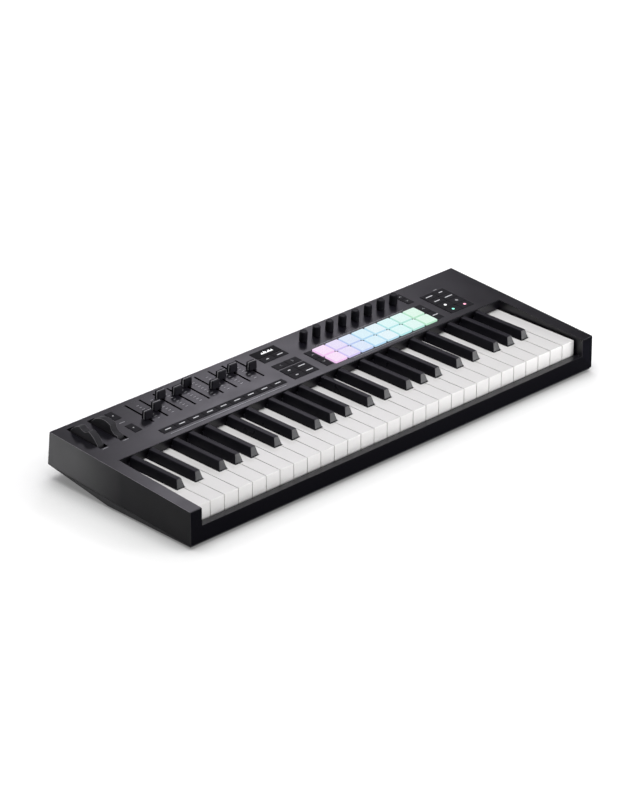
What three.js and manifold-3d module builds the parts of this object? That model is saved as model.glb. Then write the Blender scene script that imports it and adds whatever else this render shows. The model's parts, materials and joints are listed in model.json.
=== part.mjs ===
// A 49-key USB controller keyboard: a two-part plastic case, a key chassis with two hinge rods,
// 29 natural keys, 20 sharp keys in moulded sets of five, a control board, two wheels, nine faders,
// eight encoders, sixteen pads and the rubber mats that carry the buttons.
//
// Millimetres, +Z up, +X along the keys to the treble end, +Y to the back. Shapes are drawn with
// y = 0 at the front of the naturals and z = 0 at their tops, and the whole group is then set down
// with its origin at the bottom centre of its bounding box.
import * as THREE from 'three';
import { mergeVertices } from 'three/addons/utils/BufferGeometryUtils.js';
import { ConvexGeometry } from 'three/addons/geometries/ConvexGeometry.js';
import Module from 'manifold-3d';

const wasm = await Module();
wasm.setup();

// ---- Driving dimensions ---------------------------------------------------------------------

const CASE_WIDTH = 724;
const CASE_CENTRE_X = 0.8; // the case sits a little to the right of the middle of the keys
const CASE_FRONT_Y = -12.7;
const CASE_BACK_Y = 248.7; // at the top edge
const BACK_LEAN = 5.6; // the back wall's foot stands this much further back
const SIDE_HEIGHT = 47.5;
const FRONT_TOP_CORNER = 1.5;
const FRONT_TOE_CORNER = 3;
const WALL = 2.6;
const FIT = 0.4; // clearance between pieces that meet
const OVERRUN = 1; // joined solids and cutters run this far past each other

const PANEL_Z = 4.7; // height of the top face at y = 0
const PANEL_SLOPE = 0.0618; // the whole top rises to the back
const PANEL_FRONT_Y = 139;
const BASE_Z = -45.3;
const BASE_KINK_Y = 142; // behind this line the underside rises to the back wall
const TRAY = { inset: 1, edge: 0.6, chamfer: 1.4, floor: 2.6, rimRise: 4, rimThickness: 2.2 };
const FOOT_HEIGHT = 2.5;

const WELL_HALF_WIDTH = 343;
const RAIL_TOP_Z = -20.5;
const RAIL_BACK_Y = -2.2;
const RAIL_WALL = { thickness: 2, bottom: -36 };
const CHEEK_WALL_BOTTOM_Z = -34;
const SKIRT_THICKNESS = 1.8;
const SKIRT_BOTTOM_Z = 1.2;
const SKIRT_NOTCH_TOP_Z = 6.5; // roof of the notches that the sharps run through

const KEY_PITCH = 23.5;
const NATURAL_COUNT = 29;
const NATURALS_PER_OCTAVE = 7;
const OCTAVE_COUNT = 4;
const KEY_GAP = 0.9;
const HEAD_LENGTH = 48;
const NATURAL_LIP_BOTTOM_Z = -23;
const NATURAL_WALL_BOTTOM_Z = -10;
const NATURAL_TOP_THICKNESS = 2.2;
const NATURAL_SIDE_WALL = 1.8;
const NATURAL_LIP = 2.4;
const NATURAL_BLOCK = { front: 143, bottom: -12 }; // solid end that holds the hinge seat
const NATURAL_HINGE_Y = 150;
const NATURAL_BACK_Y = 155;
const HINGE_Z = -9;
const HINGE_ROD_RADIUS = 2.2;
const HINGE_SEAT_RADIUS = 2.7;
const HINGE_MOUTH_DEPTH = 8; // the seat is open below, so that a key clips on from above
const SHARP_HINGE_Y = 161.6;

const CHASSIS = {
  sideGap: 3, plateFront: 6, plateBack: 167.4, plateTop: -24, plateThickness: 2.5,
  legFronts: [10, 92], backLegFront: 163, legThickness: 3, railThickness: 2,
  felt: { front: 14, back: 22, rise: 1.6 },
  windows: { count: 5, pitch: 135, width: 100, front: 30, back: 86 },
};

const SHARP_BASE_WIDTH = 13.2;
const SHARP_TOP_WIDTH = 7.8;
const SHARP_HEIGHT = 12;
const SHARP_FRONT_Y = 49;
const SHARP_FRONT_SLANT = 3.6;
const SHARP_BACK_Y = 137.6;
const SHARP_SIDE_GAP = 0.8;
const SHARP_BODY = { bottom: -9, back: 142, wall: 2, roof: -2 };
const SHARP_ARM = { bottom: -5.5, top: 4.5, overlap: 2 };
const SHARP_RAIL = { halfLength: 4, bottom: -12, top: -1, margin: 8 };
// Natural boundary that each sharp sits over, and how far off that boundary its centre lies.
const SHARPS = [
  { after: 1, shift: -3.6 },
  { after: 2, shift: 3.6 },
  { after: 4, shift: -3.4 },
  { after: 5, shift: 0 },
  { after: 6, shift: 3.4 },
];

const WHEEL_RADIUS = 30.6;
const WHEEL_WIDTH = 9.8;
const WHEEL_DEPTH = 16.1; // axle below the top face
const WHEEL_AXLE_Y = 209.2;
const WHEEL_SCOOP = { radius: 10.5, reach: 36.3 }; // the finger notch, from the axle
const PITCH_SCOOP_DEGREES = -3.5; // square to the sloped top face
const MOD_SCOOP_DEGREES = -41; // turned fully towards the player
const PITCH_WHEEL_X = -334.6;
const MOD_WHEEL_X = -301.2;
const WHEEL_SLOT = { y: 207.5, length: 65, width: 12 };
const WHEEL_RIB = { offset: 8, halfThickness: 1.2, halfLength: 6, aboveAxle: 5 };
const AXLE_RADIUS = 2.5;

const FADER_COUNT = 9;
const FADER_FIRST_X = -243.3;
const FADER_PITCH = 23.9;
const FADER_SLOT_FRONT_Y = 184.8;
const FADER_SLOT_BACK_Y = 239.8;
const FADER_SLOT_WIDTH = 3;
const FADER_CAP = { width: 13.2, depth: 7.6, height: 11, lift: 0.8, lean: 0.7, edge: 0.8 };
const FADER_STEM = { width: 1.2, length: 6, bottom: -11 };
const FADER_BODY = { halfWidth: 5, front: 183.5, back: 243, bottom: -14, trackWidth: 2.6, trackBottom: -12 };
// Where each cap stands along its slot, from the front.
const FADER_SETTINGS = [197, 207, 226, 220.5, 229, 202, 215.5, 220, 209];

const COLUMN_COUNT = 8;
const COLUMN_FIRST_X = 55;
const COLUMN_PITCH = 24.1;

const ENCODER_FIRST_X = 53.8;
const ENCODER_PITCH = 24;
const ENCODER_Y = 221.8;
const ENCODER_RADIUS = 5.6;
const ENCODER_HEIGHT = 15.5;
const ENCODER_LIFT = 0.9;
const ENCODER_TAPER = 0.3;
const ENCODER_EDGE = 1.4;
const ENCODER_BODY = { half: 6, bottom: -13 };
const ENCODER_SHAFT_RADIUS = 3;
const ENCODER_SHAFT_DEPTH = 10;

const PAD_ROWS_Y = [160.8, 184.9];
const PAD_SIZE = 21.8;
const PAD_HEIGHT = 2;
const PAD_SHEET = { bottom: -3.6, top: -0.6 };
const PAD_WELL = { x0: 43.2, x1: 235.4, y0: 148.9, y1: 196.8 };

const BUTTON_PROUD = 0.6;
const BUTTON_GAP = 0.5; // around each button in its panel opening
const MAT_SHEET_TOP = -3.6; // below the top face
const MAT_SHEET_THICKNESS = 0.8;
const BOARD_TOP = -5.6; // below the top face
const BOARD_THICKNESS = 1.6;
const BOARD = { x0: -284, x1: 314, y0: 147, y1: 245 };
const JOIN = 0.2; // stacked bodies run this far into each other

// Button blocks on the panel: a rectangle divided into columns and rows.
const BUTTON_BLOCKS = {
  left: [
    { x0: -280, x1: -267.5, y0: 178.5, y1: 199.5, columns: 1, rows: 1 },
    { x0: -280, x1: -267.5, y0: 217.6, y1: 238.6, columns: 1, rows: 1 },
    { x0: -254.5, x1: -40.5, y0: 152.8, y1: 164.8, columns: 9, rows: 1 },
  ],
  centre: [
    { x0: -28.2, x1: 16, y0: 208.9, y1: 221.5, columns: 2, rows: 1 },
    { x0: -28.2, x1: 16, y0: 184, y1: 197.6, columns: 2, rows: 1 },
    { x0: -28.2, x1: 16, y0: 151.8, y1: 181.8, columns: 2, rows: 2 },
    { x0: 30, x1: 42, y0: 152, y1: 197, columns: 1, rows: 2 },
  ],
  right: [
    { x0: 237.6, x1: 249.6, y0: 152, y1: 198, columns: 1, rows: 2 },
    { x0: 237.6, x1: 249.6, y0: 208.4, y1: 238, columns: 1, rows: 2 },
    { x0: 263.8, x1: 308.2, y0: 152.6, y1: 213.2, columns: 2, rows: 4 },
  ],
};
// The rubber sheets that join the buttons of each mat.
const MAT_SHEETS = {
  left: [{ x0: -281, x1: -266.5, y0: 151.5, y1: 240 }, { x0: -268, x1: -39.5, y0: 151.5, y1: 166 }],
  centre: [{ x0: -29.2, x1: 17, y0: 150.6, y1: 221.5 }, { x0: 16, x1: 42, y0: 150.6, y1: 198 }],
  right: [{ x0: 237.6, x1: 250.6, y0: 150.6, y1: 239 }, { x0: 249, x1: 309.2, y0: 150.6, y1: 214.4 }],
};
const DISPLAY = { x0: -28.2, x1: 16, y0: 222.3, y1: 239.2 };
const DISPLAY_TOP = -0.6; // below the top face

// Sockets in the back wall: USB, pedal jack and five-pin MIDI output.
const SOCKETS = [
  { x: 310, width: 10, height: 4.2 }, { x: 280, width: 11, height: 11 },
  { x: 245, width: 16, height: 16 },
];
const SOCKET_Z = -4;
const SOCKET_BODY = { front: 232, sideInset: 1, below: 2, top: 13 };

const FEET = [
  { x: -300, y: 12 }, { x: 300, y: 12 }, { x: -300, y: 222 }, { x: 300, y: 222 },
];
const FOOT_RADIUS = 9;
const FOOT_ROOT = 1.5; // how far each foot boss runs up into the floor

// ---- Small geometry helpers -----------------------------------------------------------------

const SLOPE_ANGLE = Math.atan(PANEL_SLOPE);
const KEYS_LEFT = -KEY_PITCH * NATURAL_COUNT / 2;
const CASE_LEFT = CASE_CENTRE_X - CASE_WIDTH / 2;
const CASE_RIGHT = CASE_CENTRE_X + CASE_WIDTH / 2;
const WELL_LEFT = CASE_CENTRE_X - WELL_HALF_WIDTH;
const WELL_RIGHT = CASE_CENTRE_X + WELL_HALF_WIDTH;
const CASE_TOP_Z = panelZ(CASE_BACK_Y);
const CASE_REAR_Y = CASE_BACK_Y + BACK_LEAN;

function panelZ(y) {
  return PANEL_Z + PANEL_SLOPE * y;
}

function sideBottomZ(y) {
  return panelZ(y) - SIDE_HEIGHT;
}

// The back wall's outer face at height z.
function backY(z) {
  const fall = (CASE_TOP_Z - z) / (CASE_TOP_Z - sideBottomZ(CASE_REAR_Y));
  return CASE_BACK_Y + BACK_LEAN * fall;
}

function baseZ(y) {
  const rise = sideBottomZ(CASE_REAR_Y) - FIT - TRAY.edge - BASE_Z;
  return y <= BASE_KINK_Y ? BASE_Z : BASE_Z + rise * (y - BASE_KINK_Y) / (CASE_REAR_Y - BASE_KINK_Y);
}

function solidOf(geometry) {
  const bare = geometry.clone();
  bare.deleteAttribute('normal');
  bare.deleteAttribute('uv');
  const merged = mergeVertices(bare, 1e-4);
  const vertProperties = new Float32Array(merged.attributes.position.array);
  const triVerts = new Uint32Array(merged.index.array);
  return new wasm.Manifold(new wasm.Mesh({ numProp: 3, vertProperties, triVerts }));
}

function geometryOf(solid) {
  const mesh = solid.getMesh();
  const geometry = new THREE.BufferGeometry();
  geometry.setAttribute('position', new THREE.BufferAttribute(mesh.vertProperties, 3));
  geometry.setIndex(new THREE.BufferAttribute(mesh.triVerts, 1));
  geometry.computeVertexNormals();
  return geometry;
}

function joined(solids) {
  return solids.reduce((sum, next) => sum.add(next));
}

function box(x0, x1, y0, y1, z0, z1) {
  const geometry = new THREE.BoxGeometry(x1 - x0, y1 - y0, z1 - z0);
  return solidOf(geometry.translate((x0 + x1) / 2, (y0 + y1) / 2, (z0 + z1) / 2));
}

function shapeOf(points) {
  return new THREE.Shape(points.map(([a, b]) => new THREE.Vector2(a, b)));
}

// A plan outline in x and y, raised from z0 to z1.
function slab(outline, z0, z1) {
  const shape = Array.isArray(outline) ? shapeOf(outline) : outline;
  const geometry = new THREE.ExtrudeGeometry(shape, { depth: z1 - z0, bevelEnabled: false });
  return solidOf(geometry.translate(0, 0, z0));
}

// A side outline in y and z, drawn out along X.
function acrossX(outline, x0, x1) {
  const shape = Array.isArray(outline) ? shapeOf(outline) : outline;
  const depth = x1 - x0;
  const geometry = new THREE.ExtrudeGeometry(shape, { depth, bevelEnabled: false, curveSegments: 6 });
  const axes = new THREE.Matrix4().makeBasis(
    new THREE.Vector3(0, 1, 0), new THREE.Vector3(0, 0, 1), new THREE.Vector3(1, 0, 0));
  return solidOf(geometry.applyMatrix4(axes).translate(x0, 0, 0));
}

function rodAlongX(x0, x1, y, z, radius, sides) {
  const geometry = new THREE.CylinderGeometry(radius, radius, x1 - x0, sides);
  return solidOf(geometry.rotateZ(Math.PI / 2).translate((x0 + x1) / 2, y, z));
}

function postAlongZ(x, y, z0, z1, radius, sides) {
  const geometry = new THREE.CylinderGeometry(radius, radius, z1 - z0, sides);
  return solidOf(geometry.rotateX(Math.PI / 2).translate(x, y, (z0 + z1) / 2));
}

// Panel coordinates: x and y on the top face, and height w along its normal.
function placeOnPanel(geometry, x, y) {
  return geometry.rotateX(SLOPE_ANGLE).translate(x, y, panelZ(y));
}

function panelBox(x0, x1, y0, y1, w0, w1) {
  const length = (y1 - y0) / Math.cos(SLOPE_ANGLE);
  const geometry = new THREE.BoxGeometry(x1 - x0, length, w1 - w0).translate(0, 0, (w0 + w1) / 2);
  return solidOf(placeOnPanel(geometry, (x0 + x1) / 2, (y0 + y1) / 2));
}

function panelPost(x, y, w0, w1, radius, sides) {
  const geometry = new THREE.CylinderGeometry(radius, radius, w1 - w0, sides);
  return solidOf(placeOnPanel(geometry.rotateX(Math.PI / 2).translate(0, 0, (w0 + w1) / 2), x, y));
}

function addMesh(group, name, geometry, material) {
  const mesh = new THREE.Mesh(geometry, material);
  mesh.name = name;
  group.add(mesh);
  return mesh;
}

// ---- Positions that several pieces share ----------------------------------------------------

function naturalLeft(index) {
  return KEYS_LEFT + KEY_PITCH * index;
}

function sharpCentres(octave) {
  return SHARPS.map(({ after, shift }) => naturalLeft(octave * NATURALS_PER_OCTAVE + after) + shift);
}

function faderX(index) {
  return FADER_FIRST_X + FADER_PITCH * index;
}

function columnX(index) {
  return COLUMN_FIRST_X + COLUMN_PITCH * index;
}

function encoderX(index) {
  return ENCODER_FIRST_X + ENCODER_PITCH * index;
}

function allOctaves() {
  return Array.from({ length: OCTAVE_COUNT }, (_, octave) => octave);
}

function buttonCells({ x0, x1, y0, y1, columns, rows }) {
  const cells = [];
  const width = (x1 - x0) / columns;
  const length = (y1 - y0) / rows;
  for (let column = 0; column < columns; column += 1) {
    for (let row = 0; row < rows; row += 1) {
      cells.push({
        x0: x0 + column * width, x1: x0 + (column + 1) * width,
        y0: y0 + row * length, y1: y0 + (row + 1) * length,
      });
    }
  }
  return cells;
}

// ---- Case -----------------------------------------------------------------------------------

function caseOutline() {
  const corner = FRONT_TOP_CORNER;
  const toe = FRONT_TOE_CORNER;
  const topFront = panelZ(CASE_FRONT_Y);
  const bottomFront = sideBottomZ(CASE_FRONT_Y);
  const shape = new THREE.Shape();
  shape.moveTo(CASE_FRONT_Y + toe, sideBottomZ(CASE_FRONT_Y + toe));
  shape.lineTo(CASE_REAR_Y, sideBottomZ(CASE_REAR_Y));
  shape.lineTo(CASE_BACK_Y, CASE_TOP_Z);
  shape.lineTo(CASE_FRONT_Y + corner, panelZ(CASE_FRONT_Y + corner));
  shape.quadraticCurveTo(CASE_FRONT_Y, topFront, CASE_FRONT_Y, topFront - corner);
  shape.lineTo(CASE_FRONT_Y, bottomFront + toe);
  shape.quadraticCurveTo(CASE_FRONT_Y, bottomFront, CASE_FRONT_Y + toe, sideBottomZ(CASE_FRONT_Y + toe));
  return shape;
}

function caseHollow() {
  const below = sideBottomZ(CASE_FRONT_Y) - 20;
  return acrossX([
    [CASE_FRONT_Y + WALL, below],
    [backY(below) - WALL, below],
    [CASE_BACK_Y - WALL, CASE_TOP_Z - WALL],
    [CASE_FRONT_Y + WALL, panelZ(CASE_FRONT_Y) - WALL],
  ], CASE_LEFT + WALL, CASE_RIGHT - WALL);
}

function keyWellCut() {
  const y0 = CASE_FRONT_Y - OVERRUN;
  const front = box(WELL_LEFT, WELL_RIGHT, y0, PANEL_FRONT_Y, RAIL_TOP_Z, CASE_TOP_Z);
  const hole = box(WELL_LEFT, WELL_RIGHT, RAIL_BACK_Y, PANEL_FRONT_Y, BASE_Z, RAIL_TOP_Z + OVERRUN);
  return front.add(hole);
}

function cheekInnerWalls(outer) {
  const y0 = CASE_FRONT_Y + OVERRUN;
  const y1 = PANEL_FRONT_Y + SKIRT_THICKNESS;
  const left = box(WELL_LEFT - WALL, WELL_LEFT, y0, y1, CHEEK_WALL_BOTTOM_Z, CASE_TOP_Z);
  const right = box(WELL_RIGHT, WELL_RIGHT + WALL, y0, y1, CHEEK_WALL_BOTTOM_Z, CASE_TOP_Z);
  return left.add(right).intersect(outer);
}

function frontRail() {
  const x0 = WELL_LEFT - OVERRUN;
  const x1 = WELL_RIGHT + OVERRUN;
  const { thickness, bottom } = RAIL_WALL;
  const top = box(x0, x1, CASE_FRONT_Y + WALL / 2, RAIL_BACK_Y, RAIL_TOP_Z - WALL, RAIL_TOP_Z);
  const inner = box(x0, x1, RAIL_BACK_Y - thickness, RAIL_BACK_Y, bottom, RAIL_TOP_Z);
  return top.add(inner);
}

// The wall under the front edge of the panel, notched where the sharps run under it.
function notchedSkirt(outer) {
  const y1 = PANEL_FRONT_Y + SKIRT_THICKNESS;
  const x0 = WELL_LEFT - OVERRUN;
  const x1 = WELL_RIGHT + OVERRUN;
  const wall = box(x0, x1, PANEL_FRONT_Y, y1, SKIRT_BOTTOM_Z, CASE_TOP_Z);
  const half = SHARP_BASE_WIDTH / 2 + SHARP_SIDE_GAP;
  const notches = allOctaves().flatMap(sharpCentres).map((x) => (
    box(x - half, x + half, PANEL_FRONT_Y - OVERRUN, y1 + OVERRUN,
      SKIRT_BOTTOM_Z - OVERRUN, SKIRT_NOTCH_TOP_Z)));
  return wall.intersect(outer).subtract(joined(notches));
}

function panelOpenings() {
  const w0 = -WALL - OVERRUN;
  const cuts = [PITCH_WHEEL_X, MOD_WHEEL_X].map((x) => {
    const halfWidth = WHEEL_SLOT.width / 2;
    const halfLength = WHEEL_SLOT.length / 2;
    const y = WHEEL_SLOT.y;
    return panelBox(x - halfWidth, x + halfWidth, y - halfLength, y + halfLength, w0, OVERRUN);
  });
  for (let index = 0; index < FADER_COUNT; index += 1) {
    const half = FADER_SLOT_WIDTH / 2;
    const x = faderX(index);
    cuts.push(panelBox(x - half, x + half, FADER_SLOT_FRONT_Y, FADER_SLOT_BACK_Y, w0, OVERRUN));
  }
  for (let column = 0; column < COLUMN_COUNT; column += 1) {
    cuts.push(panelPost(encoderX(column), ENCODER_Y, w0, OVERRUN, ENCODER_SHAFT_RADIUS + FIT, 12));
  }
  const windows = [PAD_WELL, DISPLAY, ...Object.values(BUTTON_BLOCKS).flat()];
  windows.forEach(({ x0, x1, y0, y1 }) => cuts.push(panelBox(x0, x1, y0, y1, w0, OVERRUN)));
  return cuts;
}

function socketOpenings() {
  return SOCKETS.map(({ x, width, height }) => box(
    x - width / 2, x + width / 2, CASE_BACK_Y - WALL - OVERRUN, CASE_REAR_Y + OVERRUN,
    SOCKET_Z - height / 2, SOCKET_Z + height / 2));
}

function topCase() {
  const outer = acrossX(caseOutline(), CASE_LEFT, CASE_RIGHT);
  const shell = outer.subtract(caseHollow()).subtract(keyWellCut());
  const walled = joined([shell, cheekInnerWalls(outer), frontRail(), notchedSkirt(outer)]);
  return walled.subtract(joined([...panelOpenings(), ...socketOpenings()]));
}

function trayBand(y0, y1, lift, x0, x1) {
  return acrossX([
    [y0 + TRAY.chamfer, BASE_Z], [BASE_KINK_Y, BASE_Z], [y1, baseZ(y1)],
    [y1, sideBottomZ(y1) + lift], [y0, sideBottomZ(y0) + lift],
  ], x0, x1);
}

function trayHollow(y0, y1, x0, x1) {
  const { floor } = TRAY;
  return acrossX([
    [y0, BASE_Z + floor], [BASE_KINK_Y, BASE_Z + floor], [y1, baseZ(y1) + floor],
    [y1, CASE_TOP_Z], [y0, CASE_TOP_Z],
  ], x0, x1);
}

// Ribs and one axle that carry the two wheels.
function wheelCarrier() {
  const { offset, halfThickness, halfLength, aboveAxle } = WHEEL_RIB;
  const axleZ = panelZ(WHEEL_AXLE_Y) - WHEEL_DEPTH;
  const y0 = WHEEL_AXLE_Y - halfLength;
  const y1 = WHEEL_AXLE_Y + halfLength;
  const x0 = PITCH_WHEEL_X - offset;
  const x1 = MOD_WHEEL_X + offset;
  const between = (PITCH_WHEEL_X + MOD_WHEEL_X) / 2;
  const ribs = [x0, between, x1].map((x) => (
    box(x - halfThickness, x + halfThickness, y0, y1, baseZ(y0) + OVERRUN, axleZ + aboveAxle)));
  return joined([...ribs, rodAlongX(x0, x1, WHEEL_AXLE_Y, axleZ, AXLE_RADIUS, 12)]);
}

function bottomCase() {
  const { inset, edge, rimRise, rimThickness } = TRAY;
  const lip = WALL + FIT;
  const wall = lip + rimThickness;
  const band = trayBand(
    CASE_FRONT_Y + inset, CASE_REAR_Y - inset, -FIT, CASE_LEFT + inset, CASE_RIGHT - inset);
  const rim = trayBand(
    CASE_FRONT_Y + lip, CASE_REAR_Y - lip - edge, rimRise, CASE_LEFT + lip, CASE_RIGHT - lip);
  const hollow = trayHollow(
    CASE_FRONT_Y + wall, CASE_REAR_Y - wall, CASE_LEFT + wall, CASE_RIGHT - wall);
  const feet = FEET.map(({ x, y }) => (
    postAlongZ(x, y, BASE_Z - FOOT_HEIGHT, baseZ(y) + FOOT_ROOT, FOOT_RADIUS, 16)));
  return joined([band.add(rim).subtract(hollow), ...feet, wheelCarrier()]);
}

// ---- Key chassis ----------------------------------------------------------------------------

function keyFrame() {
  const { plateFront, plateBack, plateTop, plateThickness, legThickness, felt, windows } = CHASSIS;
  const x0 = WELL_LEFT + CHASSIS.sideGap;
  const x1 = WELL_RIGHT - CHASSIS.sideGap;
  const legTop = plateTop - plateThickness / 2;
  const plate = box(x0, x1, plateFront, plateBack, plateTop - plateThickness, plateTop);
  const feltStop = box(x0, x1, felt.front, felt.back, plateTop - JOIN, plateTop + felt.rise);
  const legs = [...CHASSIS.legFronts, CHASSIS.backLegFront].map((y) => {
    const floorZ = baseZ(y + legThickness) + TRAY.floor + FIT;
    return box(x0, x1, y, y + legThickness, floorZ, legTop);
  });
  const rods = [NATURAL_HINGE_Y, SHARP_HINGE_Y].flatMap((y) => [
    box(x0, x1, y - CHASSIS.railThickness / 2, y + CHASSIS.railThickness / 2, legTop, HINGE_Z),
    rodAlongX(x0, x1, y, HINGE_Z, HINGE_ROD_RADIUS, 10),
  ]);
  const cuts = Array.from({ length: windows.count }, (_, index) => {
    const x = windows.pitch * (index - (windows.count - 1) / 2);
    const half = windows.width / 2;
    const bottom = plateTop - plateThickness - OVERRUN;
    return box(x - half, x + half, windows.front, windows.back, bottom, plateTop + OVERRUN);
  });
  return joined([plate, feltStop, ...legs, ...rods]).subtract(joined(cuts));
}

function hingeSeat(x0, x1, y) {
  const reach = HINGE_SEAT_RADIUS;
  const round = rodAlongX(x0, x1, y, HINGE_Z, reach, 12);
  return round.add(box(x0, x1, y - reach, y + reach, HINGE_Z - HINGE_MOUTH_DEPTH, HINGE_Z));
}

// ---- Natural keys: x = 0 at the key's left boundary -----------------------------------------

function naturalTail(index) {
  const note = index % NATURALS_PER_OCTAVE;
  const clear = SHARP_BASE_WIDTH / 2 + SHARP_SIDE_GAP;
  const isTopKey = index === NATURAL_COUNT - 1;
  const leftSharp = SHARPS.find(({ after }) => after === note);
  const rightSharp = isTopKey ? undefined : SHARPS.find(({ after }) => after === note + 1);
  return {
    left: leftSharp ? leftSharp.shift + clear : KEY_GAP / 2,
    right: KEY_PITCH + (rightSharp ? rightSharp.shift - clear : -KEY_GAP / 2),
  };
}

function naturalPlan(index, inset, frontY, headY, backY) {
  const tail = naturalTail(index);
  const left = KEY_GAP / 2 + inset;
  const right = KEY_PITCH - KEY_GAP / 2 - inset;
  const points = [[left, frontY], [right, frontY]];
  if (tail.right - inset < right) points.push([right, headY], [tail.right - inset, headY]);
  points.push([tail.right - inset, backY], [tail.left + inset, backY]);
  if (tail.left + inset > left) points.push([tail.left + inset, headY], [left, headY]);
  return points;
}

function naturalKey(index) {
  const tail = naturalTail(index);
  const under = -NATURAL_TOP_THICKNESS;
  const outer = slab(naturalPlan(index, 0, 0, HEAD_LENGTH, NATURAL_BACK_Y), NATURAL_WALL_BOTTOM_Z, 0);
  const inside = naturalPlan(
    index, NATURAL_SIDE_WALL, NATURAL_LIP, HEAD_LENGTH - NATURAL_SIDE_WALL, NATURAL_BLOCK.front);
  const hollow = slab(inside, NATURAL_WALL_BOTTOM_Z - OVERRUN, under);
  const x1 = KEY_PITCH - KEY_GAP / 2;
  const front = box(KEY_GAP / 2, x1, 0, NATURAL_LIP, NATURAL_LIP_BOTTOM_Z, under / 2);
  const block = box(
    tail.left, tail.right, NATURAL_BLOCK.front, NATURAL_BACK_Y, NATURAL_BLOCK.bottom, under / 2);
  const solid = joined([outer.subtract(hollow), front, block]);
  return geometryOf(solid.subtract(hingeSeat(-OVERRUN, KEY_PITCH + OVERRUN, NATURAL_HINGE_Y)));
}

// ---- Sharp keys: one moulded set of five per octave ------------------------------------------

function sharpTop(x) {
  const base = SHARP_BASE_WIDTH / 2;
  const top = SHARP_TOP_WIDTH / 2;
  const corners = [];
  [-1, 1].forEach((side) => {
    corners.push(new THREE.Vector3(x + side * base, SHARP_FRONT_Y, 0));
    corners.push(new THREE.Vector3(x + side * base, SHARP_BACK_Y, 0));
    corners.push(new THREE.Vector3(x + side * top, SHARP_FRONT_Y + SHARP_FRONT_SLANT, SHARP_HEIGHT));
    corners.push(new THREE.Vector3(x + side * top, SHARP_BACK_Y, SHARP_HEIGHT));
  });
  return solidOf(new ConvexGeometry(corners));
}

function sharpKey(x) {
  const { bottom, back, wall, roof } = SHARP_BODY;
  const half = SHARP_BASE_WIDTH / 2;
  const lower = box(x - half, x + half, SHARP_FRONT_Y, back, bottom, JOIN);
  const hollow = box(
    x - half + wall, x + half - wall, SHARP_FRONT_Y + wall, back - wall, bottom - OVERRUN, roof);
  const arm = box(
    x - half, x + half, SHARP_BACK_Y - SHARP_ARM.overlap, SHARP_HINGE_Y,
    SHARP_ARM.bottom, SHARP_ARM.top);
  return joined([sharpTop(x), lower.subtract(hollow), arm]);
}

function sharpKeys(octave) {
  const { halfLength, bottom, top, margin } = SHARP_RAIL;
  const centres = sharpCentres(octave);
  const x0 = centres[0] - margin;
  const x1 = centres[centres.length - 1] + margin;
  const rail = box(x0, x1, SHARP_HINGE_Y - halfLength, SHARP_HINGE_Y + halfLength, bottom, top);
  const seat = hingeSeat(x0 - OVERRUN, x1 + OVERRUN, SHARP_HINGE_Y);
  return geometryOf(joined([...centres.map(sharpKey), rail]).subtract(seat));
}

// ---- Control board, mats and pads -----------------------------------------------------------

function controlBoard() {
  const bottom = BOARD_TOP - BOARD_THICKNESS;
  const parts = [panelBox(BOARD.x0, BOARD.x1, BOARD.y0, BOARD.y1, bottom, BOARD_TOP)];
  const cuts = [];
  for (let index = 0; index < FADER_COUNT; index += 1) {
    const x = faderX(index);
    const { halfWidth, front, back, trackWidth, trackBottom } = FADER_BODY;
    const half = trackWidth / 2;
    parts.push(panelBox(x - halfWidth, x + halfWidth, front, back, FADER_BODY.bottom, bottom + JOIN));
    cuts.push(panelBox(x - half, x + half, FADER_SLOT_FRONT_Y, FADER_SLOT_BACK_Y, trackBottom, 0));
  }
  for (let column = 0; column < COLUMN_COUNT; column += 1) {
    const x = encoderX(column);
    const { half } = ENCODER_BODY;
    parts.push(panelBox(
      x - half, x + half, ENCODER_Y - half, ENCODER_Y + half, ENCODER_BODY.bottom, bottom + JOIN));
    cuts.push(panelPost(
      x, ENCODER_Y, -ENCODER_SHAFT_DEPTH - OVERRUN, 0, ENCODER_SHAFT_RADIUS + FIT, 12));
  }
  SOCKETS.forEach(({ x, width }) => {
    const { front, sideInset, below, top } = SOCKET_BODY;
    const half = width / 2 - sideInset;
    parts.push(box(
      x - half, x + half, front, CASE_BACK_Y - WALL - OVERRUN, SOCKET_Z - below, top));
  });
  const { x0, x1, y0, y1 } = DISPLAY;
  parts.push(panelBox(x0 + FIT, x1 - FIT, y0 + FIT, y1 - FIT, BOARD_TOP - JOIN, DISPLAY_TOP));
  return joined(parts).subtract(joined(cuts));
}

function buttonMat(blocks, sheets) {
  const bottom = MAT_SHEET_TOP - MAT_SHEET_THICKNESS;
  const parts = sheets.map(({ x0, x1, y0, y1 }) => panelBox(x0, x1, y0, y1, bottom, MAT_SHEET_TOP));
  blocks.flatMap(buttonCells).forEach(({ x0, x1, y0, y1 }) => parts.push(panelBox(
    x0 + BUTTON_GAP, x1 - BUTTON_GAP, y0 + BUTTON_GAP, y1 - BUTTON_GAP, bottom, BUTTON_PROUD)));
  return joined(parts);
}

function padMat() {
  const { x0, x1, y0, y1 } = PAD_WELL;
  const parts = [panelBox(x0 + FIT, x1 - FIT, y0 + FIT, y1 - FIT, PAD_SHEET.bottom, PAD_SHEET.top)];
  for (let column = 0; column < COLUMN_COUNT; column += 1) {
    PAD_ROWS_Y.forEach((y) => {
      const x = columnX(column);
      const half = PAD_SIZE / 2;
      parts.push(panelBox(
        x - half, x + half, y - half, y + half, PAD_SHEET.top - JOIN, PAD_HEIGHT));
    });
  }
  return joined(parts);
}

// ---- Wheels, faders and encoders, each drawn about its own place -----------------------------

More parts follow.
